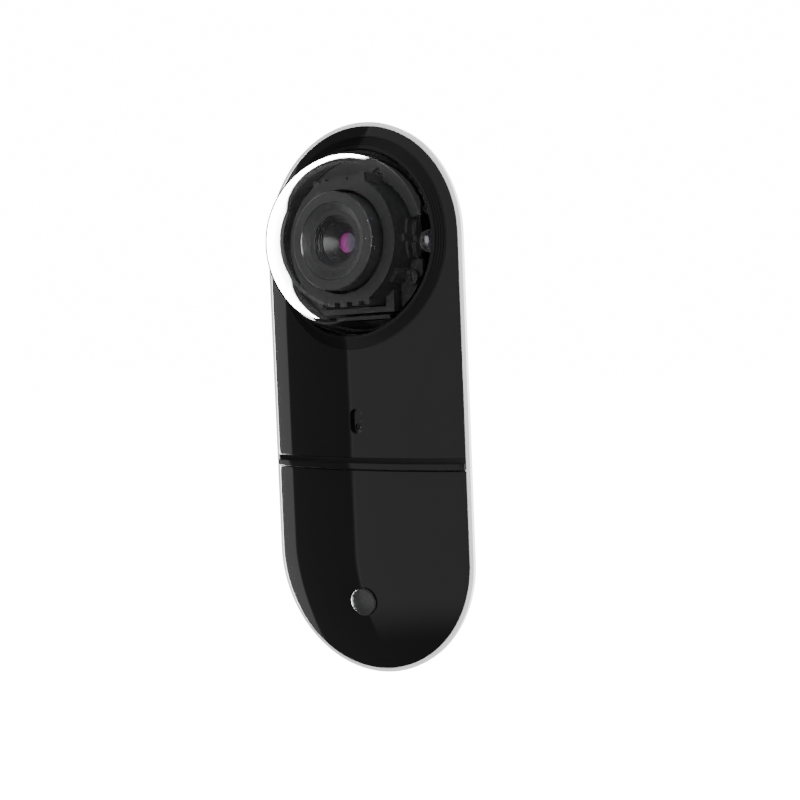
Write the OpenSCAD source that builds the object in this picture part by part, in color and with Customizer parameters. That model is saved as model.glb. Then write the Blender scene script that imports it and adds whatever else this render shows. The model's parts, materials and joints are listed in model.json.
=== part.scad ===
// Wall-mounted video doorbell with a clear camera dome, a speaker band and a call button.
// Every module is drawn lying on its back: x across, y up the doorbell, z out from the wall.
// stand() then turns it upright, so the wall face is y = 0, +Z is up and the front faces -Y.

/* [Front cover] */
// Height of the glossy cover
cover_h = 180; // [176:1:190]
// Width of the glossy cover, which also sets its round ends
cover_w = 76.4; // [76:0.2:79]
// Rise of the crowned front over its edge
crown_h = 5.6; // [5:0.1:6.4]
// Straight side of the cover below the crown
edge_wall = 0.5; // [0.4:0.1:1]
// Wall thickness of the cover
shell_t = 2.2; // [2:0.1:2.4]
// Width of the light rim that shows round the cover
rim_w = 1.4; // [1:0.1:2.5]
// Thickness of the light rim
rim_t = 1.4; // [1.2:0.1:2]

/* [Camera dome] */
// Outer radius of the clear dome
dome_r = 29.9; // [29.5:0.1:30]
// Wall thickness of the dome
dome_t = 2; // [1.6:0.1:2]
// Height of the centre of the dome over the edge of the cover
dome_rise = 1.4; // [1.2:0.1:2]
// Outer radius of the ribbed ring round the dome
bezel_r = 34.8; // [34.6:0.1:35]
// Inner radius of the ribbed ring
bezel_bore_r = 30.6; // [30.4:0.1:30.8]
// Number of steps on the ribbed ring
bezel_steps = 4; // [3:1:4]
// Width of each step
step_w = 0.74; // [0.5:0.02:0.76]
// Rise of each step over the one outside it
step_h = 0.2; // [0.1:0.05:0.3]

/* [Camera] */
// Distance from the edge plane of the cover to the front of the lens hood
hood_front = 15; // [13:0.5:16]
// Outer radius of the lens hood
hood_r = 15.8; // [15:0.1:16]
// Distance from the edge plane of the cover to the front of the camera housing
flange_front = 10; // [9:0.5:11]
// Outer radius of the camera housing
flange_r = 21.1; // [20.5:0.1:21.5]
// Sideways travel of the day and night filter
filter_travel = 6; // [5:0.5:6]

/* [Call button and microphone] */
// Height of the call button over the middle of the doorbell, negative is below
button_z = -66.7; // [-70:0.1:-62]
// Radius of the call button
button_r = 4.5; // [4:0.1:5]
// Travel of the call button
button_travel = 0.5; // [0.3:0.1:0.6]
// Height of the middle of the microphone recess, negative is below
mic_z = -6.7; // [-9:0.1:-4]

/* [Speaker band] */
// Height of the upper edge of the raised band, negative is below the middle
band_top = -18.8; // [-20:0.1:-17]
// Height of the level ledge above the raised face
band_slope = 1.6; // [1:0.1:2]
// Height of the flat face of the band
band_face = 1.9; // [1.5:0.1:2.5]
// How far the band stands proud of the cover
band_proud = 1.7; // [1:0.1:2]
// Height of the sound slot under the band
sound_gap = 0.6; // [0.4:0.1:1]

/* [Rear housing and wall bracket] */
// Width of the rear housing
housing_w = 62; // [61:0.5:62]
// Depth of the rear housing
housing_d = 14.3; // [14:0.1:16]
// Wall thickness of the rear housing
housing_t = 2; // [1.8:0.1:2]
// Thickness of the wall bracket
bracket_t = 1.5; // [1.2:0.1:2]
// Distance between the wall screw holes across the bracket
wall_hole_x = 36; // [30:1:38]
// Distance between the wall screw holes up the bracket
wall_hole_z = 100; // [96:1:104]
// Radius of each wall screw hole
wall_hole_r = 2.25; // [2:0.05:2.5]
// Radius of the cable entry in the grommet
cable_r = 3.5; // [2.5:0.1:4]

/* [Hidden] */
$fn = 96;
eps = 0.01;
far = 60;

// Levels, measured out from the wall
edge_d = bracket_t + housing_d + rim_t;
rim_d = edge_d - rim_t;
floor_d = bracket_t + housing_t;
board_d = 5.6;
board_t = 1.6;
board_top = board_d + board_t;
dome_d = edge_d + dome_rise;

// Crown: a cylinder along the middle and a ball at each end, with one radius
half_w = cover_w / 2;
end_y = (cover_h - cover_w) / 2;
crown_r = (half_w * half_w + crown_h * crown_h) / (2 * crown_h);
crown_c = edge_d + edge_wall + crown_h - crown_r;
rim_half = half_w + rim_w;
cam_y = end_y;

// Call button axis: square to the crown at the button
button_off = -button_z - end_y;
button_tilt = asin(button_off / crown_r);
button_d = crown_c + sqrt(crown_r * crown_r - button_off * button_off);

band_low = band_top - band_slope - band_face;
lower_top = band_low - sound_gap;
speaker_y = -42.5;
mic_hole_y = mic_z - 1.9;
terminal_y = -24;
cable_y = 14;
filter_d = edge_d - 5.2;
dome_seat_r = bezel_r - 2 * step_w;
dome_seat_top = edge_d + 1.7;

// Turns a lying shape upright
module stand() { rotate([90, 0, 0]) children(); }

// Puts a shape on the camera axis, z out from the wall
module on_camera(d) { translate([0, cam_y, d]) children(); }

// Puts a shape on the call button axis, z = 0 on the face of the cover
module on_button() {
    translate([0, button_z, button_d]) rotate([button_tilt, 0, 0]) children();
}

// Flat outline with full round ends
module stadium(w, h) {
    square([w, h - w], center = true);
    for (side = [-1, 1]) translate([0, side * (h - w) / 2]) circle(d = w);
}

// Flat rectangle with round corners
module round_rect(w, h, r) {
    square([w - 2 * r, h], center = true);
    square([w, h - 2 * r], center = true);
    for (sx = [-1, 1]) for (sy = [-1, 1])
        translate([sx * (w / 2 - r), sy * (h / 2 - r)]) circle(r = r);
}

module slab(low, high) { translate([0, 0, low]) linear_extrude(high - low) children(); }

module post(r, low, high) { translate([0, 0, low]) cylinder(r = r, h = high - low); }

module tube(outer, inner, low, high) {
    difference() {
        post(outer, low, high);
        post(inner, low - 1, high + 1);
    }
}

module box(w, h, low, high) {
    translate([-w / 2, -h / 2, low]) cube([w, h, high - low]);
}

// Solid from level low up to the crowned front, inset from the sides and raised or sunk
module crowned(low, inset = 0, raise = 0) {
    half = half_w - inset;
    intersection() {
        translate([-half, -end_y, low]) cube([2 * half, 2 * end_y, far]);
        translate([0, end_y + 1, crown_c]) rotate([90, 0, 0])
            cylinder(r = crown_r + raise, h = 2 * end_y + 2, $fn = 360);
    }
    for (side = [-1, 1]) intersection() {
        translate([0, side * end_y, low]) cylinder(r = half, h = far);
        translate([-half - 1, side > 0 ? end_y : -end_y - half - 1, low])
            cube([2 * half + 2, half + 1, far]);
        translate([0, side * end_y, crown_c]) sphere(r = crown_r + raise, $fn = 360);
    }
}

// Straight stretch of the cover shell, from low_y to high_y
module middle_shell(low_y, high_y) {
    difference() {
        intersection() {
            translate([-half_w, low_y, edge_d]) cube([2 * half_w, high_y - low_y, far]);
            translate([0, high_y + 1, crown_c]) rotate([90, 0, 0])
                cylinder(r = crown_r, h = high_y - low_y + 2, $fn = 360);
        }
        intersection() {
            translate([-half_w + shell_t, low_y - 1, edge_d - 1])
                cube([2 * (half_w - shell_t), high_y - low_y + 2, far]);
            translate([0, high_y + 2, crown_c]) rotate([90, 0, 0])
                cylinder(r = crown_r - shell_t, h = high_y - low_y + 4, $fn = 360);
        }
    }
}

// Round end of the cover shell, 1 at the top and -1 at the bottom
module end_shell(side) {
    difference() {
        intersection() {
            translate([0, side * end_y, edge_d]) cylinder(r = half_w, h = far);
            translate([0, side * end_y, crown_c]) sphere(r = crown_r, $fn = 360);
            translate([-half_w - 1, side > 0 ? end_y : -end_y - half_w - 1, edge_d])
                cube([2 * half_w + 2, half_w + 1, far]);
        }
        intersection() {
            translate([0, side * end_y, edge_d - 1]) cylinder(r = half_w - shell_t, h = far);
            translate([0, side * end_y, crown_c]) sphere(r = crown_r - shell_t, $fn = 360);
        }
    }
}

// Pan-head screw standing on z = 0 with its head up and a cross recess
module screw(shank_r, shank_l, head_r, head_h) {
    recess = head_r * 0.6;
    difference() {
        union() {
            post(head_r, 0, head_h);
            post(shank_r, -shank_l, 0);
        }
        for (turn = [0, 90]) rotate([0, 0, turn])
            box(recess * 2, head_r * 0.24, head_h * 0.45, head_h + 1);
    }
}

frame_screw_places = [[26.6, 12], [26.6, -28], [17, -73.5]];

// Both sides of the doorbell, for each place in a list
module mirrored(places) {
    for (p = places) for (side = p[0] == 0 ? [1] : [-1, 1])
        translate([side * p[0], p[1], 0]) children();
}

// ---- Wall side ----

wall_hole_places = [[wall_hole_x / 2, wall_hole_z / 2], [wall_hole_x / 2, -wall_hole_z / 2]];
hook_x = 14;
hook_y = 66;
module wall_bracket() {
    color("silver") stand() {
        difference() {
            slab(0, bracket_t) round_rect(48, 150, 8);
            translate([0, cable_y, 0]) post(8, -1, bracket_t + 1);
            slab(-1, bracket_t + 1) translate([0, terminal_y]) round_rect(25, 15, 3);
            mirrored(wall_hole_places) post(wall_hole_r, -1, bracket_t + 1);
        }
        for (side = [-1, 1]) translate([side * hook_x, hook_y, 0]) {
            box(8, 1.5, bracket_t, floor_d + 1.4);
            translate([0, 1.45, 0]) box(8, 1.7, floor_d + 0.3, floor_d + 1.4);
        }
        difference() {
            translate([0, -70.5, 0]) box(12, 1.6, bracket_t, 10);
            translate([0, -69, 7]) rotate([90, 0, 0]) cylinder(r = 1.5, h = 4);
        }
    }
}

// Holes through the floor of the rear housing
module housing_openings() {
    for (side = [-1, 1]) translate([side * hook_x, hook_y - 1.2, 0]) box(9, 4.4, 0, floor_d + 1);
    translate([0, -70.5, 0]) box(13, 2.4, 0, floor_d + 1);
    translate([0, terminal_y, 0]) box(22.6, 11.6, 0, floor_d + 1);
    translate([0, cable_y, 0]) post(5.2, 0, floor_d + 1);
    translate([-19, -62, 0]) post(1.2, 0, floor_d + 1);
    mirrored(wall_hole_places) post(4.6, 0, board_d - 1.1);
}

board_screw_places = [[22, 62], [24.2, -8], [9.5, -74.5]];

module rear_housing() {
    color("#2b2c2e") stand() difference() {
        union() {
            difference() {
                slab(bracket_t, rim_d) stadium(housing_w, cover_h - cover_w + housing_w);
                slab(floor_d, rim_d + 1)
                    stadium(housing_w - 2 * housing_t, cover_h - cover_w + housing_w - 2 * housing_t);
            }
            mirrored(frame_screw_places) post(2.8, floor_d, rim_d);
            mirrored(board_screw_places) post(2.6, floor_d, board_d);
            // Raised rooms over the heads of the wall screws
            mirrored(wall_hole_places) post(5.4, floor_d, board_d - 0.3);
        }
        housing_openings();
        mirrored(frame_screw_places) post(1.45, rim_d - 8, rim_d + 1);
        mirrored(board_screw_places) post(1.0, floor_d, board_d + 1);
        // Groove for the seal
        slab(rim_d - 0.6, rim_d + 1) difference() {
            stadium(housing_w - 1.2, cover_h - cover_w + housing_w - 1.2);
            stadium(housing_w - 2.6, cover_h - cover_w + housing_w - 2.6);
        }
        // Hole for the security screw through the lower end
        translate([0, -70, 7]) rotate([90, 0, 0]) cylinder(r = 1.6, h = 30);
    }
}

module housing_seal() {
    color("#1c1c1c") stand() slab(rim_d - 0.6, rim_d) difference() {
        stadium(housing_w - 1.3, cover_h - cover_w + housing_w - 1.3);
        stadium(housing_w - 2.5, cover_h - cover_w + housing_w - 2.5);
    }
}

frame_bore_r = 28.4;
module rim_frame() {
    color("#e4e5e6") stand() difference() {
        slab(rim_d, edge_d) stadium(2 * rim_half, cover_h - cover_w + 2 * rim_half);
        on_camera(0) post(frame_bore_r, 0, far);
        slab(rim_d - 1, edge_d + 1) translate([0, -21.5]) round_rect(46, 76, 8);
        slab(rim_d - 1, edge_d + 1) translate([0, button_z + 1.5]) round_rect(25, 15, 3);
        mirrored(frame_screw_places) post(1.55, 0, far);
        mirrored(frame_screw_places) post(2.75, edge_d - 0.8, far);
        clip_slots(upper_clip_places);
        clip_slots(lower_clip_places);
    }
}

module frame_screws() {
    color("silver") stand() mirrored(frame_screw_places)
        translate([0, 0, edge_d - 0.8]) screw(1.4, 7, 2.6, 1.2);
}

module security_screw() {
    color("silver") stand() translate([0, -83 - 0.05, 7]) rotate([90, 0, 0])
        screw(1.45, 12.4, 2.7, 1.6);
}

module cable_grommet() {
    color("#242424") stand() translate([0, cable_y, 0]) rotate_extrude() polygon([
        [cable_r, bracket_t - 1.2], [7, bracket_t - 1.2], [7, bracket_t - 0.02], [5.1, bracket_t - 0.02],
        [5.1, floor_d + 0.02], [6.6, floor_d + 0.02], [6.6, floor_d + 0.8], [cable_r, floor_d + 1.6]]);
}

// ---- Covers ----

upper_clip_places = [[34.6, 2], [34.6, 44]];
lower_clip_places = [[34.6, -34], [34.6, -50]];
// Clips that hold a cover in the slots of the rim frame
module clips(places) {
    mirrored(places) {
        box(1.4, 6, rim_d - 1, edge_d + 0.3);
        translate([-0.3, 0, 0]) box(2, 6, rim_d - 1, rim_d - 0.15);
    }
}

module clip_slots(places) {
    mirrored(places) translate([-0.25, 0, 0]) box(2.5, 6.6, 0, far);
}

module upper_cover() {
    mic_w = 4.4;
    mic_h = 8.1;
    color("#151516") stand() difference() {
        union() {
            middle_shell(band_top, end_y);
            end_shell(1);
            clips(upper_clip_places);
        }
        on_camera(0) post(bezel_r + 0.03, 0, far);
        // Microphone recess and its hole
        slab(edge_d + edge_wall + crown_h - 1.3, far) translate([0, mic_z]) stadium(mic_w, mic_h);
        translate([0, mic_hole_y, 0]) post(1.05, 0, far);
    }
}

module lower_cover() {
    color("#151516") stand() difference() {
        union() {
            middle_shell(-end_y, lower_top);
            end_shell(-1);
            // Posts for the button board
            on_button() for (side = [-1, 1]) translate([side * 8.6, 0, 0]) post(1.9, -8.3, -1.5);
            clips(lower_clip_places);
        }
        on_button() post(button_r + 0.07, -far / 4, far / 4);
        on_button() for (side = [-1, 1]) translate([side * 8.6, 0, 0]) post(1.0, -9, -2.6);
    }
}

band_end_r = 2.5;
module speaker_band() {
    color("#151516") stand() intersection() {
        difference() {
            // Turned about the axis of the crown: a ledge level with the cover, then the raised face
            translate([0, 0, crown_c]) rotate([-90, 0, 0]) rotate_extrude($fn = 360) polygon([
                [crown_r - shell_t - 2.6, band_low], [crown_r + band_proud - 0.3, band_low],
                [crown_r + band_proud, band_low + 0.3],
                [crown_r + band_proud, band_top - band_slope],
                [crown_r, band_top - band_slope], [crown_r, band_top - 0.02],
                [crown_r - shell_t - 2.6, band_top - 0.02]]);
            // Sound passage along the back of the band
            translate([0, band_low, 0]) box(30, 3.2, edge_d - 1, edge_d + 5.6);
        }
        // Plan of the band with round front corners at its two ends
        translate([0, band_low - 1, edge_d]) rotate([90, 0, 180])
            linear_extrude(band_top - band_low + 2) band_plan();
    }
}

// Seen from above: x across, y out from the edge of the cover
module band_plan() {
    side_h = edge_wall + band_proud - band_end_r;
    translate([-half_w, 0]) square([2 * half_w, max(side_h, eps)]);
    translate([-half_w + band_end_r, 0]) square([2 * (half_w - band_end_r), 20]);
}

// One step of the ribbed ring, following the crown
module bezel_step(outer, inner, low, raise) {
    intersection() {
        on_camera(0) tube(outer, inner, low, far);
        crowned(edge_d - 1, 0, raise);
    }
}

module bezel_ring() {
    last_r = bezel_r - bezel_steps * step_w;
    color("#151516") stand() {
        for (i = [0 : bezel_steps - 1])
            bezel_step(bezel_r - i * step_w, bezel_r - (i + 1) * step_w,
                i < 2 ? edge_d : dome_seat_top, i * step_h);
        bezel_step(last_r, bezel_bore_r, dome_seat_top, bezel_steps * step_h);
    }
}

// ---- Dome and mask ----

module dome() {
    color([0.85, 0.9, 0.95, 0.35]) stand() on_camera(0) {
        difference() {
            intersection() {
                translate([0, 0, dome_d]) sphere(r = dome_r, $fn = 200);
                post(dome_r + 1, dome_d, far);
            }
            translate([0, 0, dome_d]) sphere(r = dome_r - dome_t, $fn = 200);
        }
        tube(dome_r, dome_r - dome_t, edge_d + 0.5, dome_d);
        tube(dome_seat_r - 0.3, dome_r - dome_t, edge_d + 0.5, edge_d + 1.5);
    }
}

module dome_seal() {
    color("#1c1c1c") stand() on_camera(0) tube(dome_seat_r - 0.4, 29, edge_d, edge_d + 0.5);
}

mask_r = 27.5;
mask_in = 22.2;
mask_screw_x = 21.6;
mask_screw_y = -12.6;

module mask_ring() {
    slab(edge_d - 1, edge_d + 0.4) difference() {
        intersection() {
            circle(r = mask_r);
            square([50, 60], center = true);
        }
        circle(r = mask_in);
        square([60, 14], center = true);
    }
}

module upper_mask() {
    color("#4a4b4d") stand() on_camera(0) {
        difference() {
            mask_ring();
            translate([0, -15, 0]) box(60, 30, 0, far);
            // Room for the upper tab of the camera housing
            box(21.6, 42.6, 0, far);
            // Hook-shaped slot at the corner of the tab
            translate([9.4, 21, 0]) {
                intersection() {
                    tube(2.9, 2, 0, far);
                    translate([-1.4, 1.6, 0]) box(3.2, 3.2, 0, far);
                }
                intersection() {
                    post(1.5, 0, far);
                    translate([0, 1, 0]) box(3.2, 2, 0, far);
                }
            }
        }
        for (side = [-1, 1]) translate([side * 16.2, 18.4, 0]) post(2, board_top, edge_d - 0.9);
    }
}

// Lower mask on one side, cut away for the shelf and the heat plate
module side_mask(side) {
    color("#4a4b4d") stand() on_camera(0) difference() {
        union() {
            intersection() {
                mask_ring();
                translate([side * 15, -15, 0]) box(30, 30, 0, far);
            }
            translate([side * mask_screw_x, mask_screw_y, 0]) post(2.4, board_top, edge_d + 1);
        }
        translate([0.7, -29.8, 0]) box(30.6, 20, 0, far);
        translate([side * 5, -15, 0]) box(10.2, 30, 0, far);
        // Room for the camera boss, and for the leg of the shelf on the right
        translate([side * boss_x, boss_y, 0]) post(boss_r + 0.3, 0, far);
        if (side > 0) translate([13, -19, 0]) box(7, 10, 0, far);
        translate([side * mask_screw_x, mask_screw_y, 0]) post(1.15, edge_d - 6, far);
    }
}

module left_mask() { side_mask(-1); }

module right_mask() { side_mask(1); }

module mask_screws() {
    color("#55575a") stand() on_camera(0) for (side = [-1, 1])
        translate([side * mask_screw_x, mask_screw_y, edge_d + 1]) screw(1.1, 5.4, 2.4, 1.2);
}

// ---- Camera ----

tab_w = 20.8;
boss_x = 16.2;
boss_y = -11;
boss_r = 3;
tab_y = 20.7;
groove_pitch = 4.9;
module camera_housing() {
    low = edge_d - 6.2;
    high = edge_d + flange_front;
    color("#5a5b5d") stand() on_camera(0) difference() {
        union() {
            post(flange_r, low, high);
            box(tab_w, 2 * tab_y, low + 3, high);
            // Round nib at the corner of the upper tab
            translate([9.4, tab_y + 0.15, 0]) post(0.9, low + 3, high);
            // Bosses beside the barrel
            for (side = [-1, 1]) translate([side * boss_x, boss_y, 0]) post(boss_r, low, high - 3);
        }
        post(hood_r + 1.05, low + 8, high + 1);
        post(10.2, low - 1, high);
        for (i = [-1.5 : 1 : 1.5])
            translate([i * groove_pitch, -tab_y, 0]) box(2.2, 2.4, low, high + 1);
        // Small notches and a pin hole in the upper tab
        translate([-8.3, tab_y, 0]) box(2.4, 1.8, low, high + 1);
        translate([-4.6, tab_y, 0]) box(1.6, 1.2, low, high + 1);
        translate([3.5, tab_y - 0.7, 0]) post(0.4, low, high + 1);
        // Room for the filter carrier behind the lens
        box(27, 16.6, low - 1, low + 3.1);
        for (side = [-1, 1]) translate([side * boss_x, boss_y, 0]) post(1.05, low - 1, low + 7);
    }
}

module lens_hood() {
    front = edge_d + hood_front;
    color("#5f6062") stand() on_camera(0) rotate_extrude() polygon([
        [10.1, front - 1.6], [12.3, front - 0.25], [12.55, front], [15.5, front], [hood_r, front - 0.3],
        [hood_r, edge_d + 1.9], [10.3, edge_d + 1.9], [10.3, edge_d + 9.2], [10.1, edge_d + 9.2]]);
}

// Stepped rings that stop stray light, from the hood down to the front lens
module hood_baffle() {
    front = edge_d + hood_front - 1.6;
    color("#4c4d4f") stand() on_camera(0) rotate_extrude() polygon([
        [8.3, front], [10.05, front], [10.05, front - 6.6], [3.7, front - 6.6], [3.2, front - 6.2],
        [3.7, front - 5.7], [6.4, front - 3.1], [6.4, front - 2.6], [7.1, front - 2.6],
        [7.1, front - 1.3], [8.3, front - 1.3]]);
}

module lens_barrel() {
    low = edge_d - 3.2;
    high = edge_d + 6.7;
    color("#232426") stand() on_camera(0) difference() {
        union() {
            post(6.9, low, high);
            post(7.6, edge_d + 4.6, high);
        }
        post(4.4, low - 1, high + 1);
        post(5.6, edge_d + 4.4, high + 1);
    }
}

// Lens element: a drum with one face ground to part of a ball
module lens(r, rim, bulge) {
    ball_r = (r * r + bulge * bulge) / (2 * bulge);
    intersection() {
        post(r, 0, rim + bulge);
        translate([0, 0, rim + bulge - ball_r]) sphere(r = ball_r, $fn = 120);
    }
}

module front_lens() {
    color("#7d4fa0") stand() on_camera(edge_d + 4.45) lens(5.55, 0.9, 1.0);
}

module middle_lens() {
    color("#9fb4c4") stand() on_camera(edge_d + 1.55) lens(4.35, 1.0, 0.9);
}

module rear_lens() {
    color("#9fb4c4") stand() on_camera(edge_d - 0.8) mirror([0, 0, 1]) lens(4.35, 0.9, 0.8);
}

module lens_lock_ring() {
    color("#303133") stand() on_camera(0) difference() {
        tube(9.2, 6.95, edge_d - 0.6, edge_d + 1.2);
        for (turn = [0 : 30 : 150]) rotate([0, 0, turn]) box(20, 1.2, edge_d + 0.7, edge_d + 2);
    }
}

module lens_holder() {
    low = edge_d - 7;
    color("#232426") stand() on_camera(0) difference() {
        union() {
            post(9, edge_d - 3.2, edge_d - 0.65);
            for (side = [-1, 1]) translate([0, side * 6.9, 0]) box(18, 1.8, low, edge_d - 3.2);
            box(18, 15.6, edge_d - 3.9, edge_d - 3.2);
        }
        post(6.95, edge_d - 3.25, far);
        post(4.6, edge_d - 5, far);
    }
}

// Day and night filter: one window holds the infrared filter, the other is clear
module filter_carrier() {
    color("#38393b") stand() on_camera(0) difference() {
        translate([-3, 0, 0]) box(16, 9, filter_d - 0.4, filter_d + 0.4);
        box(5, 5, 0, far);
        translate([-filter_travel, 0, 0]) box(4.6, 5, 0, far);
    }
}

module filter_glass() {
    color("#a8c8d8") stand() on_camera(0) box(4.96, 4.96, filter_d - 0.25, filter_d + 0.25);
}

module filter_coil() {
    color("#b5713a") stand() on_camera(0) translate([-16, 0, 0])
        tube(2.4, 0.7, edge_d - 8.4, edge_d - 6.4);
}

module image_sensor() {
    color("#30404a") stand() on_camera(0) box(8.4, 7.4, edge_d - 7.2, edge_d - 6.2);
}

module sensor_board() {
    color("#1f6b3a") stand() on_camera(0) difference() {
        box(40, 19, edge_d - 8.4 + 0.2, edge_d - 7.2);
        for (side = [-1, 1]) translate([side * 17.4, -7, 0]) post(1.2, 0, far);
        translate([-16, 0, 0]) post(2.6, 0, far);
    }
}

module camera_shelf() {
    front = edge_d + 2;
    color("#56575a") stand() on_camera(0) {
        translate([0, -22.2, 0]) box(29, 1.8, board_top, front);
        // Upright leg with a slanted end that clears the camera
        slab(edge_d - 6.4, front)
            polygon([[11.3, -22.2], [14.5, -22.2], [14.5, -15.9], [11.3, -18.3]]);
    }
}

module heat_plate() {
    color("#8d9094") stand() on_camera(0) translate([0.5, -24.6, 0]) difference() {
        box(22, 1.2, board_top, edge_d + 0.2);
        for (side = [-1, 0, 1]) translate([side * 7, 0, 0]) box(3, 3, board_top + 3, board_top + 6);
    }
}

led_x = 25.1;
module infrared_leds() {
    color("#e8e4ee") stand() on_camera(0) for (side = [-1, 1]) translate([side * led_x, -1, 0]) {
        post(2.5, edge_d - 7, edge_d - 3.4);
        translate([0, 0, edge_d - 3.4]) intersection() {
            sphere(r = 2.5);
            post(3, 0, 3);
        }
    }
}

module led_cups() {
    color("#76787b") stand() on_camera(0) for (side = [-1, 1]) translate([side * led_x, -1, 0])
        difference() {
            post(3.6, board_top, edge_d - 3.6);
            post(2.55, edge_d - 7.02, far);
            translate([0, 0, edge_d - 5]) cylinder(r1 = 2.56, r2 = 3.4, h = 1.5);
        }
}

module camera_flex() {
    color("#c98a2a") stand() translate([4.5, cam_y - 14, 0]) box(7, 11, board_top + 1.55, board_top + 1.75);
}

// ---- Electronics ----

module main_board() {
    color("#1d5e36") stand() difference() {
        slab(board_d, board_top) stadium(54, cover_h - cover_w + 54);
        mirrored(board_screw_places) post(1.15, 0, far);
        mirrored(frame_screw_places) post(3.1, 0, far);
        translate([0, cable_y, 0]) post(4.6, 0, far);
        // Notch for the security screw
        translate([0, -74, 0]) box(13, 15, 0, far);
    }
}

module board_screws() {
    color("silver") stand() {
        mirrored(board_screw_places) translate([0, 0, board_top]) screw(0.95, 3.4, 1.9, 1.2);
        on_button() for (side = [-1, 1]) translate([side * 8.6, 0, -9.9]) rotate([180, 0, 0])
            screw(0.95, 5, 1.9, 1.2);
    }
}

module processor() { color("#262729") stand() translate([-15, 8, 0]) box(14, 14, board_top, board_top + 1.3); }

module memory_chip() { color("#262729") stand() translate([14, 9, 0]) box(8, 12, board_top, board_top + 1.1); }

module radio_shield() {
    color("#b9bbbd") stand() translate([12.5, -7, 0]) difference() {
        box(18, 13, board_top, board_top + 2.6);
        box(17.4, 12.4, board_top - 1, board_top + 2.3);
    }
}

module power_inductor() {
    color("#35363a") stand() translate([-17, -8, 0]) difference() {
        box(9, 9, board_top, board_top + 4);
        tube(3.6, 2.8, board_top + 3.5, board_top + 5);
    }
}

module capacitors() {
    color("#8a8f96") stand() for (place = [[-8, -9], [-20, -18], [19, -19]])
        translate([place[0], place[1], 0]) post(2.6, board_top, board_top + 5.6);
}

module flex_connector() {
    color("#d9d5c8") stand() translate([4.5, cam_y - 18.2, 0]) box(10, 4, board_top, board_top + 1.5);
}

terminal_count = 4;
terminal_pitch = 5;
module terminal_places() {
    for (i = [0 : terminal_count - 1])
        translate([(i - (terminal_count - 1) / 2) * terminal_pitch, 0, 0]) children();
}

module terminal_block() {
    color("#2f7d4a") stand() translate([0, terminal_y, 0]) difference() {
        box(20.6, 10, bracket_t + 0.4, board_d);
        // Wire mouths and screw wells, both open to the rear
        terminal_places() translate([0, 2.4, 0]) box(3.2, 3, 0, board_d - 1);
        terminal_places() translate([0, -2.2, 0]) post(1.9, 0, board_d - 1.2);
    }
}

module terminal_screws() {
    color("silver") stand() translate([0, terminal_y, 0]) terminal_places()
        translate([0, -2.2, 0]) difference() {
            post(1.8, bracket_t + 1.2, board_d - 1.2);
            box(5, 0.6, 0, bracket_t + 2);
        }
}

module tamper_switch() {
    color("#2b2b2d") stand() translate([-19, -62, 0]) difference() {
        box(6, 6, floor_d + 0.2, board_d);
        post(1.15, 0, board_d - 0.3);
    }
}

module tamper_plunger() {
    color("#e7e2d6") stand() translate([-19, -62, 0]) post(1.1, bracket_t + 0.05, board_d - 0.9);
}

// ---- Sound ----

crown_in = edge_d + edge_wall + crown_h - shell_t;
module mic_capsule() {
    color("#c9b27a") stand() translate([0, mic_hole_y, 0]) difference() {
        post(3, crown_in - 3.6, crown_in - 0.9);
        post(0.6, crown_in - 1.4, far);
    }
}

module mic_boot() {
    color("#1f1f1f") stand() translate([0, mic_hole_y, 0]) difference() {
        post(4, crown_in - 3.8, crown_in - 0.1);
        post(3.02, crown_in - 5, crown_in - 0.88);
        post(1.3, crown_in - 5, far);
    }
}

module mic_mesh() {
    color("#3a3b3d") stand() translate([0, mic_hole_y, 0]) post(1.03, crown_in - 0.1, crown_in + 0.25);
}

speaker_r = 17;
module speaker_basket() {
    color("#3b3c3f") stand() translate([0, speaker_y, 0]) difference() {
        union() {
            post(speaker_r, edge_d + 0.2, edge_d + 1.4);
            translate([0, 0, edge_d - 3.4]) cylinder(r1 = 12, r2 = 16.2, h = 3.7);
        }
        post(14.4, edge_d + 0.6, far);
        translate([0, 0, edge_d - 2.2]) cylinder(r1 = 9.6, r2 = 14.4, h = 2.81);
        post(6.6, edge_d - 5, far);
        for (turn = [0 : 60 : 300]) rotate([0, 0, turn]) translate([9.4, 0, 0])
            post(1.6, edge_d - 5, edge_d - 2);
    }
}

module speaker_magnet() {
    color("#7c7f83") stand() translate([0, speaker_y, 0]) {
        tube(10, 5.6, edge_d - 8, edge_d - 3.45);
        post(10, edge_d - 9, edge_d - 8);
        post(4.4, edge_d - 8, edge_d - 2.4);
    }
}

module speaker_cone() {
    color("#1b1c1e") stand() translate([0, speaker_y, 0]) {
        // Paper cone with its voice coil and dust cap
        rotate_extrude() polygon([[4.75, edge_d - 7], [5.25, edge_d - 7], [5.25, edge_d - 1.4],
            [13.9, edge_d + 1.3], [13.9, edge_d + 1.6], [5.2, edge_d - 1.05], [4.75, edge_d - 1.05]]);
        translate([0, 0, edge_d - 1.4]) difference() {
            post(5, 0.2, 0.9);
            post(4.4, 0, 0.6);
        }
    }
}

module speaker_duct() {
    color("#2a2a2a") stand() difference() {
        intersection() {
            crowned(edge_d + 1.4, 3, -shell_t - 0.15);
            translate([0, speaker_y, 0]) union() {
                post(speaker_r, 0, far);
                translate([0, speaker_r / 2 + 1, 0]) box(34, speaker_r + 2.4, 0, far);
            }
        }
        translate([0, speaker_y, 0]) post(14.6, 0, far);
        translate([0, speaker_y + 10, 0]) box(24, 20.9, 0, far);
    }
}

// ---- Call button ----

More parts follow.
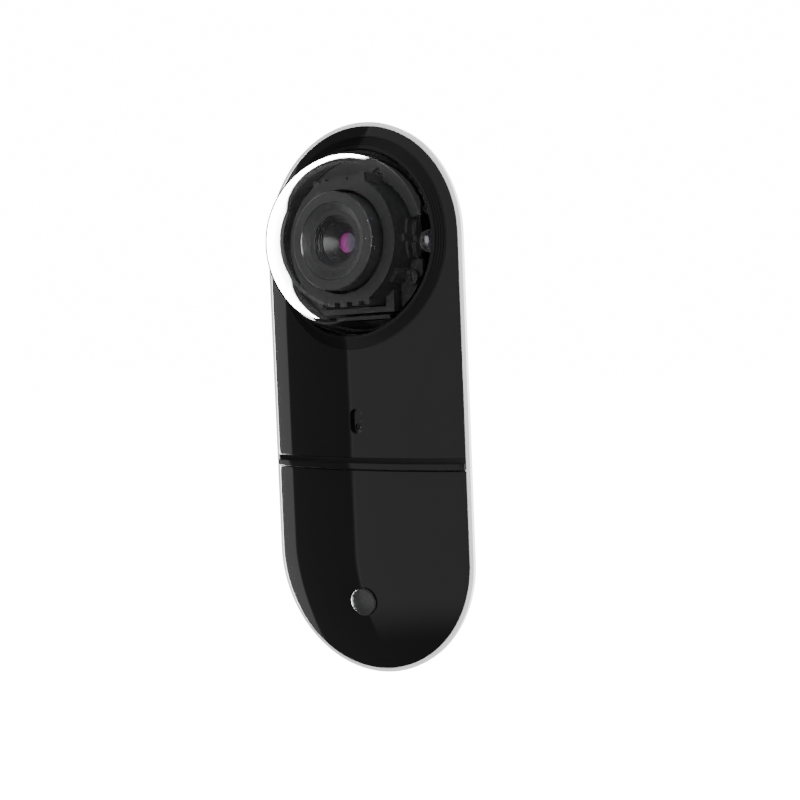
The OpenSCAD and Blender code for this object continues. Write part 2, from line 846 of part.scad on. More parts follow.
flange_top = -shell_t - 0.25;
module button_cap() {
    top_bulge = 0.95;
    top_r = (button_r * button_r + top_bulge * top_bulge) / (2 * top_bulge);
    color("#2a2a2c") stand() on_button() {
        intersection() {
            post(button_r, flange_top - 0.8, 1.9);
            translate([0, 0, 1.85 - top_r]) sphere(r = top_r, $fn = 160);
            union() {
                post(button_r, flange_top - 0.8, 0.65);
                translate([0, 0, 0.65]) cylinder(r1 = button_r, r2 = button_r - 1.6, h = 1.6);
            }
        }
        post(5.5, flange_top - 0.8, flange_top);
        post(1.5, -4.9, flange_top - 0.8);
    }
}

module button_boot() {
    color("#3c3c3e") stand() on_button() rotate_extrude() polygon([
        [3, flange_top - 0.8], [5.3, flange_top - 0.8], [5.3, -4], [6, -6], [6, -7.4],
        [5.2, -7.4], [5.2, -6.2], [4.6, -4.4], [3, -4]]);
}

module tact_switch() {
    color("#2b2b2d") stand() on_button() difference() {
        box(6, 6, -8.3, -5.6);
        post(1.75, -7.4, 0);
    }
}

module tact_plunger() {
    color("#d8d3c4") stand() on_button() post(1.7, -6.8, -4.93);
}

module button_board() {
    color("#1d5e36") stand() on_button() difference() {
        slab(-9.9, -8.3) round_rect(22, 11, 2);
        for (side = [-1, 1]) translate([side * 8.6, 0, 0]) post(1.05, -12, 0);
    }
}

wall_bracket();
rear_housing();
housing_seal();
rim_frame();
frame_screws();
upper_cover();
lower_cover();
speaker_band();
bezel_ring();
dome();
dome_seal();
upper_mask();
left_mask();
right_mask();
mask_screws();
camera_housing();
lens_hood();
hood_baffle();
lens_barrel();
front_lens();
middle_lens();
rear_lens();
lens_lock_ring();
lens_holder();
filter_carrier();
filter_glass();
filter_coil();
image_sensor();
sensor_board();
camera_shelf();
heat_plate();
infrared_leds();
led_cups();
camera_flex();
main_board();
board_screws();
processor();
memory_chip();
radio_shield();
power_inductor();
capacitors();
flex_connector();
terminal_block();
terminal_screws();
mic_capsule();
mic_boot();
mic_mesh();
speaker_basket();
speaker_magnet();
speaker_cone();
speaker_duct();
button_cap();
button_boot();
tact_switch();
tact_plunger();
button_board();
tamper_switch();
tamper_plunger();
cable_grommet();
security_screw();
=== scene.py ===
"""Video doorbell: finish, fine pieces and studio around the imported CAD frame."""
import json
import math

import bmesh
import bpy
import numpy as np
from mathutils import Matrix, Vector
from mathutils.geometry import delaunay_2d_cdt


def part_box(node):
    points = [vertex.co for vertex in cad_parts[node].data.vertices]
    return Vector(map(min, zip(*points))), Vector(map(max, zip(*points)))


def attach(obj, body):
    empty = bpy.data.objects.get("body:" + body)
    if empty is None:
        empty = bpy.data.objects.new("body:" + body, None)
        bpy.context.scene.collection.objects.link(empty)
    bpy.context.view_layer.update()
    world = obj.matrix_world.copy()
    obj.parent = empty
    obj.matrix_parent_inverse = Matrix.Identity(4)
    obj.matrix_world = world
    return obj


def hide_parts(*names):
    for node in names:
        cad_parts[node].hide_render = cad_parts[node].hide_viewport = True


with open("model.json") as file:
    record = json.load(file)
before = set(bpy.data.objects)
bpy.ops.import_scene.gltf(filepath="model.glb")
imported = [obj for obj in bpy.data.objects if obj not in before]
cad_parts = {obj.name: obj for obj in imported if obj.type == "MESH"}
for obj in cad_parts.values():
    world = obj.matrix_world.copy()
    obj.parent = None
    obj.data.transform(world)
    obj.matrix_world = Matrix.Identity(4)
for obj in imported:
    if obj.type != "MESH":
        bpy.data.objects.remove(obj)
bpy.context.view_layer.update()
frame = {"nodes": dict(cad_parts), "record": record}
NODES = frame["nodes"]

# ---------------------------------------------------------------- sizes, in metres
MM = 0.001
rim_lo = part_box("rim_frame")[0]
cover_lo, cover_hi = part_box("upper_cover")
lower_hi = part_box("lower_cover")[1]
dome_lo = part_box("dome")[0]
button_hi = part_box("button_cap")[1]

EDGE_D = -rim_lo.y                                  # edge plane of the cover, from the wall
HALF_W = cover_hi.x                                 # half width of the cover
END_Y = cover_hi.z - HALF_W                         # centre height of the round ends
EDGE_WALL = 0.5 * MM                                # straight wall round the crowned front
CROWN_H = -cover_lo.y - EDGE_D - EDGE_WALL
CROWN_R = (HALF_W ** 2 + CROWN_H ** 2) / (2 * CROWN_H)
CROWN_C = EDGE_D + EDGE_WALL + CROWN_H - CROWN_R
SHELL_T = 2.2 * MM
LOWER_TOP = lower_hi.z
COVER_BEVEL = 0.12 * MM
COVER_STEP = 2.4 * MM                               # spacing of the mesh on the covers
EDGE_GAPS = (0.12 * MM, 0.5 * MM, 1.3 * MM)         # rows of the mesh that follow each edge
EDGE_ROWS = 5                                       # rows round each small edge
UNDER_STEP = 1.6                                    # how much coarser the under side is
ARC_STEPS = 150                                     # points round each end of the covers

MIC_Z = -6.7 * MM
MIC_R, MIC_LENGTH = 2.2 * MM, 3.7 * MM              # of its ends, and between their centres
MIC_DEPTH = 1.3 * MM
MIC_BEVEL = 0.03 * MM
MIC_HOLE_R = 1.05 * MM
MIC_HOLE_Z = MIC_Z - 1.9 * MM

BUTTON_Z = -66.7 * MM
BUTTON_R = 4.5 * MM
BUTTON_GAP, BUTTON_BEVEL = 0.1 * MM, 0.05 * MM
BUTTON_FLANGE_R = button_hi.x
BUTTON_FLANGE, BUTTON_FLANGE_T = -2.45 * MM, 0.8 * MM
BUTTON_STEM_R, BUTTON_STEM_END = 1.5 * MM, -4.9 * MM
BUTTON_TOP, BUTTON_BULGE = 1.85 * MM, 0.62 * MM
BUTTON_ROUND = 0.1 * MM

BAND_TOP, BAND_SLOPE, BAND_FACE, BAND_PROUD = -18.8 * MM, 1.6 * MM, 1.9 * MM, 1.7 * MM
BAND_LOW = BAND_TOP - BAND_SLOPE - BAND_FACE
BAND_FACE_TOP = BAND_TOP - BAND_SLOPE
BAND_RISE, BAND_DIP = -0.12 * MM, 0.12 * MM         # ledge against the crown, and how far it dips in front
BAND_STEP = 0.16 * MM                               # height over which the face drops to the ledge
BAND_GAP = 0.02 * MM                                # left free below the upper cover
BAND_ROUND = 0.1 * MM                               # lower edge of the face
BAND_END_R = 0.9 * MM                               # round at the left and right end
BAND_BACK = 4.8 * MM                                # back of the band, behind the crown

MESH_INSET, MESH_GAP = 0.4 * MM, 0.02 * MM          # sideways, and above and below
MESH_SUNK, MESH_LEAST = 0.9 * MM, 0.32 * MM

BEZEL_R = 34.8 * MM
BEZEL_BORE = 30.6 * MM
BEZEL_SEAT_R, BEZEL_SEAT = 33.3 * MM, 1.7 * MM
BEZEL_GAP, BEZEL_BEVEL = 0.03 * MM, 0.1 * MM        # of the hole for it in the upper cover
STEP_COUNT, STEP_W, STEP_H = 4, 0.74 * MM, 0.2 * MM
STEP_ROUND, STEP_DRAFT = 0.03 * MM, 0.01 * MM
GROOVE_W, GROOVE_D = 0.34 * MM, 0.32 * MM

DOME_D = EDGE_D + 1.4 * MM                          # centre of the dome, from the wall
DOME_R = -dome_lo.y - DOME_D
DOME_T = 2.0 * MM
DOME_FLANGE_R, DOME_FLANGE_T = 33.0 * MM, 1.0 * MM
DOME_FLANGE = EDGE_D + 0.5 * MM

MERGE = 1e-7                                        # points closer than this are one
EXACT = 1e-9                                        # tolerance of the plan triangulation
TINY, SHARPEST = 1e-12, 1e-6                        # keep a mitre finite at a point or a full turn


def crown(x, z, extra=0.0):
    """Distance from the wall of the crowned front at (x, z)."""
    over = max(abs(z) - END_Y, 0.0)
    flat2 = x * x + over * over
    return CROWN_C + math.sqrt((CROWN_R + extra) ** 2 - flat2)


def at(x, z, d):
    """Point d out from the wall, in the row frame."""
    return (x, -d, z)


# ---------------------------------------------------------------- materials
MASK_FADE = 0.1 * MM                                # over which a ring-shaped mask fades
PATCH_SHARE = 0.6                                   # of the slow drift in a colour; the rest is fine grain
COAT_ROUGH = 0.05
NEAR_BLACK = (0.008, 0.008, 0.008)
HAZE_SCALE, HAZE_LEAST = 120.0, 0.97
# painted shade: black mixed into the clear dome near its limb
LIMB_BLACK = (0.01, 0.01, 0.01)
MIX_VALUES, MIX_COLOURS = (2, 3), (6, 7)            # sockets of a Mix node


def new_material(name):
    mat = bpy.data.materials.new(name)
    mat.use_nodes = True
    tree = mat.node_tree
    tree.nodes.clear()
    out = tree.nodes.new("ShaderNodeOutputMaterial")
    return mat, tree, out


def add(tree, kind, **settings):
    """New node with its sockets and properties set."""
    node = tree.nodes.new(kind)
    for key, value in settings.items():
        if key in node.inputs:
            node.inputs[key].default_value = value
        else:
            setattr(node, key, value)
    return node


def maths(tree, operation, *values):
    """Math node; each value is a number or an output."""
    node = add(tree, "ShaderNodeMath", operation=operation)
    for socket, value in zip(node.inputs, values):
        if isinstance(value, (int, float)):
            socket.default_value = value
        else:
            tree.links.new(value, socket)
    return node.outputs[0]


def object_noise(tree, scale, detail=3.0, stretch=(1, 1, 1)):
    coord = add(tree, "ShaderNodeTexCoord")
    place = add(tree, "ShaderNodeMapping", Scale=stretch)
    noise = add(tree, "ShaderNodeTexNoise", Scale=scale, Detail=detail, Roughness=0.55)
    tree.links.new(coord.outputs["Object"], place.inputs["Vector"])
    tree.links.new(place.outputs["Vector"], noise.inputs["Vector"])
    return noise.outputs["Fac"]


def object_axis(tree, axis):
    """One coordinate of a point, in metres."""
    coord = add(tree, "ShaderNodeTexCoord")
    split = add(tree, "ShaderNodeSeparateXYZ")
    tree.links.new(coord.outputs["Object"], split.inputs[0])
    return split.outputs[axis]


def ramp(tree, source, low, high, start=0.3, end=0.7):
    """Maps source from start...end to low...high, and holds it outside."""
    node = add(tree, "ShaderNodeMapRange")
    node.inputs["From Min"].default_value = start
    node.inputs["From Max"].default_value = end
    node.inputs["To Min"].default_value = low
    node.inputs["To Max"].default_value = high
    tree.links.new(source, node.inputs["Value"])
    return node.outputs["Result"]


def blend(tree, factor, first, second):
    """Mixes two colours; each is a plain colour or an output."""
    node = add(tree, "ShaderNodeMix", data_type="RGBA")
    tree.links.new(factor, node.inputs[0])
    for socket, value in zip(MIX_COLOURS, (first, second)):
        if isinstance(value, tuple):
            node.inputs[socket].default_value = (*value, 1)
        else:
            tree.links.new(value, node.inputs[socket])
    return node.outputs[2]


def lens_radius(tree):
    """Distance of a point from the axis of the camera, in metres."""
    x = object_axis(tree, "X")
    lift = maths(tree, "SUBTRACT", object_axis(tree, "Z"), END_Y)
    return maths(tree, "SQRT", maths(tree, "MULTIPLY_ADD", x, x, maths(tree, "MULTIPLY", lift, lift)))


def polish_ring(tree, gloss, inner, outer, smooth):
    """Gives the ring from inner to outer round the camera axis the roughness smooth."""
    reach = lens_radius(tree)
    ring = maths(tree, "MULTIPLY", ramp(tree, reach, 0, 1, inner - MASK_FADE, inner),
                 ramp(tree, reach, 1, 0, outer, outer + MASK_FADE))
    node = add(tree, "ShaderNodeMix", data_type="FLOAT")
    first, second = MIX_VALUES
    tree.links.new(ring, node.inputs[0])
    tree.links.new(gloss, node.inputs[first])
    node.inputs[second].default_value = smooth
    return node.outputs[0]


def surface(name, colour, rough, metallic=0.0, vary=0.12, grain=900.0, bump=0.15, height=0.00004,
            coat=0.0, spec=0.5, rough_vary=0.06, patch=45.0, stretch=(1, 1, 1), dark_within=None,
            lip=None, across=None):
    """Procedural plastic, rubber or metal: fine grain, slow colour drift and uneven gloss.
    dark_within blackens it near the camera axis, lip polishes a narrow ring round that axis,
    across turns it to another colour from one x to the next."""
    mat, tree, out = new_material(name)
    shader = add(tree, "ShaderNodeBsdfPrincipled", Metallic=metallic)
    shader.inputs["Specular IOR Level"].default_value = spec
    shader.inputs["Coat Weight"].default_value = coat
    shader.inputs["Coat Roughness"].default_value = COAT_ROUGH
    drift = object_noise(tree, patch)
    fine = object_noise(tree, grain, 4.0, stretch)
    grainy = maths(tree, "MULTIPLY", fine, 1 - PATCH_SHARE)
    both = maths(tree, "MULTIPLY_ADD", drift, PATCH_SHARE, grainy)
    dark = tuple(c * (1 - vary) for c in colour)
    light = tuple(min(c * (1 + vary), 1) for c in colour)
    tint = blend(tree, ramp(tree, both, 0, 1, 0.35, 0.65), dark, light)
    if dark_within:
        beyond = ramp(tree, lens_radius(tree), 0, 1, dark_within - MASK_FADE, dark_within)
        tint = blend(tree, beyond, NEAR_BLACK, tint)
    # across paints a colour change along x; on the front lens it is a painted reflection
    if across:
        other, start, end = across
        tint = blend(tree, ramp(tree, object_axis(tree, "X"), 0, 1, start, end), tint, other)
    tree.links.new(tint, shader.inputs["Base Color"])
    gloss = ramp(tree, drift, max(rough - rough_vary, 0.01), rough + rough_vary)
    if lip:
        gloss = polish_ring(tree, gloss, *lip)
    tree.links.new(gloss, shader.inputs["Roughness"])
    if bump:
        relief = add(tree, "ShaderNodeBump", Strength=bump, Distance=height)
        tree.links.new(fine, relief.inputs["Height"])
        tree.links.new(relief.outputs["Normal"], shader.inputs["Normal"])
    tree.links.new(shader.outputs[0], out.inputs["Surface"])
    return mat


def mix_shaders(tree, share, first, second):
    node = add(tree, "ShaderNodeMixShader")
    tree.links.new(share, node.inputs[0])
    tree.links.new(first, node.inputs[1])
    tree.links.new(second, node.inputs[2])
    return node.outputs[0]


def pane(name, base=0.04, tint=(1, 1, 1), gloss=(1, 1, 1), grow=5.0, most=1.0, back=1.0, limb=None):
    """Clear polished wall: passes light straight on and mirrors more towards grazing.
    grow is how late the mirroring comes, back what is left of it on a wall seen from inside,
    limb the range of grazing over which a wall seen from outside turns black."""
    mat, tree, out = new_material(name)
    clear = add(tree, "ShaderNodeBsdfTransparent", Color=(*tint, 1))
    mirror = add(tree, "ShaderNodeBsdfGlossy", Color=(*gloss, 1), Roughness=0.0)
    facing = add(tree, "ShaderNodeLayerWeight", Blend=0.5).outputs["Facing"]
    inward = add(tree, "ShaderNodeNewGeometry").outputs["Backfacing"]
    share = maths(tree, "MULTIPLY_ADD", maths(tree, "POWER", facing, grow), most - base, base)
    haze = ramp(tree, object_noise(tree, HAZE_SCALE, 2.0), HAZE_LEAST, 1.0)
    left = ramp(tree, inward, 1.0, back, 0.0, 1.0)
    share = maths(tree, "MULTIPLY", maths(tree, "MULTIPLY", haze, share), left)
    whole = mix_shaders(tree, share, clear.outputs[0], mirror.outputs[0])
    # painted shade: a black rim at grazing stands in for the dark edge that clear glass shows
    if limb:
        rim = add(tree, "ShaderNodeBsdfDiffuse", Color=(*LIMB_BLACK, 1))
        outward = ramp(tree, inward, 1.0, 0.0, 0.0, 1.0)
        near_limb = maths(tree, "MULTIPLY", ramp(tree, facing, 0.0, 1.0, *limb), outward)
        whole = mix_shaders(tree, near_limb, whole, rim.outputs[0])
    tree.links.new(whole, out.inputs["Surface"])
    return mat


MAT = {
    "cover_gloss": surface("cover_gloss", (0.0016, 0.0016, 0.0018), 0.035, vary=0.1, grain=60, bump=0.0,
                           rough_vary=0.008, patch=30),
    "band_gloss": surface("band_gloss", (0.0014, 0.0014, 0.0015), 0.05, vary=0.1, bump=0.0, rough_vary=0.01),
    "band_ledge": surface("band_ledge", (0.011, 0.011, 0.0112), 0.7, grain=1800, bump=0.2, spec=0.0),
    "ring_gloss": surface("ring_gloss", (0.003, 0.003, 0.0032), 0.07, vary=0.1, bump=0.0, rough_vary=0.01,
                          spec=0.3),
    "dome_clear": pane("dome_clear", 0.006, grow=3.0, most=0.9, back=0.05, limb=(0.76, 0.84)),
    "rim_plastic": surface("rim_plastic", (0.86, 0.865, 0.87), 0.35, vary=0.04, grain=1500, bump=0.1,
                           dark_within=33.5 * MM),
    "housing_plastic": surface("housing_plastic", (0.03, 0.031, 0.033), 0.55, grain=2400, bump=0.5),
    "bracket_steel": surface("bracket_steel", (0.45, 0.46, 0.48), 0.34, metallic=1.0, vary=0.08,
                             grain=500, stretch=(1, 1, 12), bump=0.12, height=0.00002),
    "seal_rubber": surface("seal_rubber", (0.012, 0.012, 0.012), 0.7, grain=1800, bump=0.3),
    "mask_plastic": surface("mask_plastic", (0.042, 0.043, 0.044), 0.5, grain=2600, bump=0.5),
    "camera_housing": surface("camera_housing", (0.048, 0.049, 0.050), 0.5, grain=2600, bump=0.55),
    # light grey of the raised marks on the camera housing: a painted reflection
    "painted_reflection_mark": surface("painted_reflection_mark", (0.17, 0.171, 0.173), 0.42, grain=2600, bump=0.3),
    "hood_plastic": surface("hood_plastic", (0.066, 0.067, 0.069), 0.5, grain=2400, bump=0.2, spec=0.4,
                            lip=(12.25 * MM, 12.6 * MM, 0.12)),
    "baffle_black": surface("baffle_black", (0.062, 0.062, 0.064), 0.36, grain=1200, bump=0.03),
    "barrel_black": surface("barrel_black", (0.03, 0.03, 0.032), 0.35, metallic=1.0, grain=900, bump=0.2),
    # painted reflection: the magenta of the front lens, turning grey violet from left to right, stands in for
    # the reflection of its coating
    "front_glass": surface("front_glass", (0.80, 0.13, 0.62), 0.1, vary=0.2, patch=260, grain=300, bump=0.0,
                           coat=0.5, rough_vary=0.02, across=((0.17, 0.14, 0.24), -1.6 * MM, 1.4 * MM)),
    "lens_glass": pane("lens_glass", 0.06, (0.75, 0.8, 0.85), (0.7, 0.9, 1.0)),
    "filter_plastic": surface("filter_plastic", (0.03, 0.03, 0.032), 0.5),
    "filter_coating": pane("filter_coating", 0.08, (0.45, 0.8, 0.85), (1.0, 0.5, 0.6)),
    "coil_copper": surface("coil_copper", (0.55, 0.22, 0.08), 0.3, metallic=1.0, stretch=(1, 30, 1),
                           bump=0.4),
    "sensor_glass": surface("sensor_glass", (0.03, 0.045, 0.06), 0.1, coat=0.6),
    "board_green": surface("board_green", (0.004, 0.010, 0.007), 0.4, grain=1200, vary=0.25, coat=0.1),
    "shelf_plastic": surface("shelf_plastic", (0.078, 0.079, 0.080), 0.5, grain=2600, bump=0.5),
    "heat_metal": surface("heat_metal", (0.10, 0.102, 0.105), 0.45, metallic=1.0, grain=800,
                          stretch=(1, 1, 9)),
    "led_clear": pane("led_clear", 0.4, (0.85, 0.82, 0.9)),
    "cup_grey": surface("cup_grey", (0.18, 0.18, 0.185), 0.3),
    "flex_amber": surface("flex_amber", (0.42, 0.19, 0.03), 0.25, vary=0.2, stretch=(30, 1, 1), grain=200),
    "screw_steel": surface("screw_steel", (0.42, 0.43, 0.44), 0.28, metallic=1.0, grain=1400, bump=0.2),
    "screw_dark": surface("screw_dark", (0.07, 0.07, 0.072), 0.35, metallic=0.7, grain=1400, bump=0.2),
    "chip_black": surface("chip_black", (0.02, 0.02, 0.021), 0.55, grain=2000, bump=0.3),
    "shield_tin": surface("shield_tin", (0.5, 0.5, 0.51), 0.25, metallic=1.0, stretch=(12, 1, 1)),
    "ferrite": surface("ferrite", (0.03, 0.03, 0.032), 0.6),
    "can_aluminium": surface("can_aluminium", (0.55, 0.55, 0.56), 0.25, metallic=1.0),
    "connector_cream": surface("connector_cream", (0.55, 0.50, 0.40), 0.5),
    "terminal_green": surface("terminal_green", (0.03, 0.20, 0.08), 0.45, grain=1600, bump=0.3),
    "capsule_metal": surface("capsule_metal", (0.5, 0.46, 0.36), 0.3, metallic=1.0),
    "mesh_grey": surface("mesh_grey", (0.02, 0.02, 0.021), 0.8, grain=4000, bump=0.8, spec=0.15),
    "speaker_frame": surface("speaker_frame", (0.03, 0.03, 0.032), 0.5),
    "magnet_steel": surface("magnet_steel", (0.3, 0.3, 0.31), 0.35, metallic=1.0),
    "cone_paper": surface("cone_paper", (0.018, 0.018, 0.019), 0.8, grain=1500, bump=0.6),
    "duct_foam": surface("duct_foam", (0.02, 0.02, 0.02), 0.9, grain=1500, bump=0.8),
    "button_gloss": surface("button_gloss", (0.024, 0.024, 0.025), 0.2, vary=0.1, bump=0.0, rough_vary=0.02),
    "boot_rubber": surface("boot_rubber", (0.04, 0.04, 0.041), 0.65),
    "switch_black": surface("switch_black", (0.02, 0.02, 0.021), 0.5),
    "plunger_cream": surface("plunger_cream", (0.55, 0.5, 0.42), 0.45),
    "grommet_rubber": surface("grommet_rubber", (0.016, 0.016, 0.017), 0.65, grain=1500, bump=0.4),
}

for part in frame["record"]["subparts"]:
    node = NODES[part["node"]]
    node.data.materials.clear()
    node.data.materials.append(MAT[part["material_slot"]])


# ---------------------------------------------------------------- mesh helpers
def make_piece(name, verts, faces, slot, body, nodes=(), sharp=32.0, look=None):
    """Mesh object that rides a body; nodes are those it replaces, look a material other than the slot's."""
    mesh = bpy.data.meshes.new(name)
    mesh.from_pydata([tuple(v) for v in verts], [], faces)
    mesh.validate()
    bm = bmesh.new()
    bm.from_mesh(mesh)
    bmesh.ops.remove_doubles(bm, verts=bm.verts, dist=MERGE)
    bmesh.ops.recalc_face_normals(bm, faces=bm.faces)
    bm.to_mesh(mesh)
    bm.free()
    for poly in mesh.polygons:
        poly.use_smooth = True
    mesh.set_sharp_from_angle(angle=math.radians(sharp))
    obj = bpy.data.objects.new(name, mesh)
    bpy.context.scene.collection.objects.link(obj)
    mesh.materials.append(MAT[look or slot])
    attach(obj, body)
    if nodes:
        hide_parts(*nodes)
    return obj


def ring_points(radius, count, cz):
    return [(radius * math.cos(2 * math.pi * i / count), cz + radius * math.sin(2 * math.pi * i / count))
            for i in range(count)]


def stadium_points(radius, length, count, cz):
    """Upright stadium: ends of the radius, length between their centres."""
    half = count // 2
    pts = []
    for end, lift in ((0, length / 2), (1, -length / 2)):
        for i in range(half + 1):
            a = math.pi * (end + i / half)
            pts.append((radius * math.cos(a), cz + lift + radius * math.sin(a)))
    return pts


def offset_loop(loop, amount):
    """Moves a counter-clockwise loop inwards by amount, with mitred corners."""
    out = []
    n = len(loop)
    for i in range(n):
        a, b, c = np.array(loop[i - 1]), np.array(loop[i]), np.array(loop[(i + 1) % n])
        e0, e1 = b - a, c - b
        n0 = np.array((-e0[1], e0[0])) / max(np.linalg.norm(e0), TINY)
        n1 = np.array((-e1[1], e1[0])) / max(np.linalg.norm(e1), TINY)
        mitre = n0 + n1
        mitre = mitre / max(np.dot(mitre, mitre) / 2, SHARPEST)
        out.append(tuple(b + mitre * amount))
    return out


def inside(loop, x, z):
    """Whether (x, z) lies within a loop."""
    hit = False
    n = len(loop)
    for i in range(n):
        x0, z0 = loop[i - 1]
        x1, z1 = loop[i]
        if (z0 > z) != (z1 > z) and x < (x1 - x0) * (z - z0) / (z1 - z0) + x0:
            hit = not hit
    return hit


def within(loops, x, z):
    """Whether (x, z) lies inside the first loop and outside the others."""
    return inside(loops[0], x, z) and not any(inside(hole, x, z) for hole in loops[1:])


def plan_mesh(loops, near, step, height, flip=False):
    """Filled flat region: first loop outside, the others are holes. Returns points in 3-D and faces."""
    pts, edges = [], []
    for loop in loops:
        base = len(pts)
        pts += [Vector(p) for p in loop]
        edges += [(base + i, base + (i + 1) % len(loop)) for i in range(len(loop))]
    for gap in near:
        for loop in [offset_loop(loop, gap) for loop in loops]:
            pts += [Vector(p) for p in loop if within(loops, *p)]
    reach = (near[-1] if near else 0.0) + step * 0.5
    guard = [offset_loop(loop, reach) for loop in loops]
    xs = [p[0] for p in loops[0]]
    zs = [p[1] for p in loops[0]]
    x = min(xs) + step / 2
    while step and x < max(xs):
        z = min(zs) + step / 2
        while z < max(zs):
            if within(guard, x, z):
                pts.append(Vector((x, z)))
            z += step
        x += step
    tri = delaunay_2d_cdt(pts, edges, [], 0, EXACT)
    plan = [(v.x, v.y) for v in tri[0]]
    faces = []
    for f in tri[2]:
        cx = sum(plan[i][0] for i in f) / len(f)
        cz = sum(plan[i][1] for i in f) / len(f)
        if within(loops, cx, cz):
            faces.append(tuple(reversed(f)) if flip else tuple(f))
    return [at(px, pz, height(px, pz)) for px, pz in plan], faces


def skin(outer, holes, top, under, bevel, step):
    """Closed skin over a plan region: crowned top, under side, walls and small round edges.
    holes are (loop, edge radius, floor, bore): a hole with a floor is a recess, bore goes on through it."""
    verts, faces = [], []

    def extend(more_verts, more_faces):
        base = len(verts)
        verts.extend(more_verts)
        faces.extend(tuple(base + i for i in f) for f in more_faces)

    def wall(upper_row, lower_row):
        n = len(upper_row)
        extend(upper_row + lower_row, [(i, (i + 1) % n, n + (i + 1) % n, n + i) for i in range(n)])

    loops = [(outer, bevel, None, None)]
    loops += [(list(reversed(loop)), edge, drop, bore) for loop, edge, drop, bore in holes]
    starts = [offset_loop(loop, edge) for loop, edge, _, _ in loops]
    extend(*plan_mesh(starts, EDGE_GAPS, step, top))
    through = [outer]
    for (loop, edge, drop, bore), start in zip(loops, starts):
        previous = [at(p[0], p[1], top(*p)) for p in start]
        for r in range(1, EDGE_ROWS + 1):
            t = math.pi / 2 * r / EDGE_ROWS
            current = []
            for p, q in zip(start, loop):
                px = p[0] + (q[0] - p[0]) * math.sin(t)
                pz = p[1] + (q[1] - p[1]) * math.sin(t)
                current.append(at(px, pz, top(px, pz) - edge * (1 - math.cos(t))))
            wall(previous, current)
            previous = current
        if drop is None:
            wall(previous, [at(q[0], q[1], under(*q)) for q in loop])
            if loop is not outer:
                through.append(loop)
            continue
        wall(previous, [at(q[0], q[1], drop(*q)) for q in loop])
        floor = [list(reversed(loop))] + ([list(reversed(bore))] if bore else [])
        extend(*plan_mesh(floor, (), 0, drop))
        if bore:
            ring = list(reversed(bore))
            wall([at(q[0], q[1], drop(*q)) for q in ring], [at(q[0], q[1], under(*q)) for q in ring])
            through.append(ring)
    extend(*plan_mesh(through, (), step * UNDER_STEP, under, True))
    return verts, faces


def loft(rings, points, closed=True):
    """Faces of rings that have the same number of points.
    closed joins the last ring to the first, and otherwise both ends get a cap."""
    faces = []
    for i in range(rings if closed else rings - 1):
        j = (i + 1) % rings
        for k in range(points):
            m = (k + 1) % points
            faces.append((i * points + k, j * points + k, j * points + m, i * points + m))
    if not closed:
        last = (rings - 1) * points
        faces += [tuple(range(points)), tuple(reversed(range(last, last + points)))]
    return faces


def revolve(profile, count, place):
    """Closed solid of revolution: profile is a closed loop of (radius, height); place maps to 3-D."""
    verts = []
    for i in range(count):
        a = 2 * math.pi * i / count
        verts += [place(r * math.cos(a), r * math.sin(a), h) for r, h in profile]
    return verts, loft(count, len(profile))


def on_camera(x, y, h):
    """Point h out from the wall, at (x, y) from the axis of the camera."""
    return at(x, END_Y + y, h)


# ---------------------------------------------------------------- covers
def under_shell(x, z):
    return max(crown(x, z) - SHELL_T, EDGE_D)


def recess_floor(x, z):
    return crown(x, z) - MIC_DEPTH


def split_first(pts, count=48):
    """Splits the first edge of a loop, which is a long one, into short ones."""
    a, b = np.array(pts[0]), np.array(pts[1])
    extra = [tuple(a + (b - a) * i / count) for i in range(1, count)]
    return pts[:1] + extra + pts[1:]


def end_outline(edge_z, end_z, side, rows):
    """Outline of a cover: straight at edge_z and round about end_z.
    side is 1 for the upper cover and -1 for the lower."""
    half = side * HALF_W
    pts = [(-half, edge_z), (half, edge_z)]
    pts += [(half, edge_z + (end_z - edge_z) * i / rows) for i in range(1, rows)]
    for i in range(ARC_STEPS + 1):
        a = math.pi * i / ARC_STEPS
        pts.append((half * math.cos(a), end_z + half * math.sin(a)))
    pts += [(-half, end_z + (edge_z - end_z) * i / rows) for i in range(1, rows)]
    return split_first(pts)


def upper_cover():
    ring_hole = (ring_points(BEZEL_R + BEZEL_GAP, 200, END_Y), BEZEL_BEVEL, None, None)
    mic_recess = (stadium_points(MIC_R, MIC_LENGTH, 48, MIC_Z), MIC_BEVEL, recess_floor,
                  ring_points(MIC_HOLE_R, 32, MIC_HOLE_Z))
    verts, faces = skin(end_outline(BAND_TOP, END_Y, 1, 46), [ring_hole, mic_recess],
                        crown, under_shell, COVER_BEVEL, COVER_STEP)
    return make_piece("gloss_upper_cover", verts, faces, "cover_gloss", "unit", ["upper_cover"])


def lower_cover():
    button_hole = (ring_points(BUTTON_R + BUTTON_GAP, 72, BUTTON_Z), BUTTON_BEVEL, None, None)
    verts, faces = skin(end_outline(LOWER_TOP, -END_Y, -1, 20), [button_hole],
                        crown, under_shell, COVER_BEVEL, COVER_STEP)
    return make_piece("gloss_lower_cover", verts, faces, "cover_gloss", "unit", ["lower_cover"])


upper_cover()
lower_cover()


# ---------------------------------------------------------------- speaker band
def band_rows():
    """Section of the band: (height, how far it stands proud of the crown); None is its back."""
    rows = [(BAND_LOW, None), (BAND_LOW, BAND_PROUD - BAND_ROUND)]
    for i in range(1, 6):
        a = math.pi / 2 * i / 5
        rows.append((BAND_LOW + BAND_ROUND * (1 - math.cos(a)), BAND_PROUD - BAND_ROUND * (1 - math.sin(a))))
    rows += [(BAND_FACE_TOP, BAND_PROUD), (BAND_FACE_TOP - BAND_STEP, BAND_RISE - BAND_DIP)]
    return rows + [(BAND_TOP - BAND_GAP, BAND_RISE), (BAND_TOP - BAND_GAP, None)]


def band_stations():
    """Places across the band, closer together in its round ends."""
    count, arc = 150, 14
    start = HALF_W - BAND_END_R
    left = [-start - BAND_END_R * math.sin(math.pi / 2 * i / arc) for i in range(arc, 0, -1)]
    middle = [-start + 2 * start * i / count for i in range(count + 1)]
    return left + middle + [-x for x in reversed(left)]


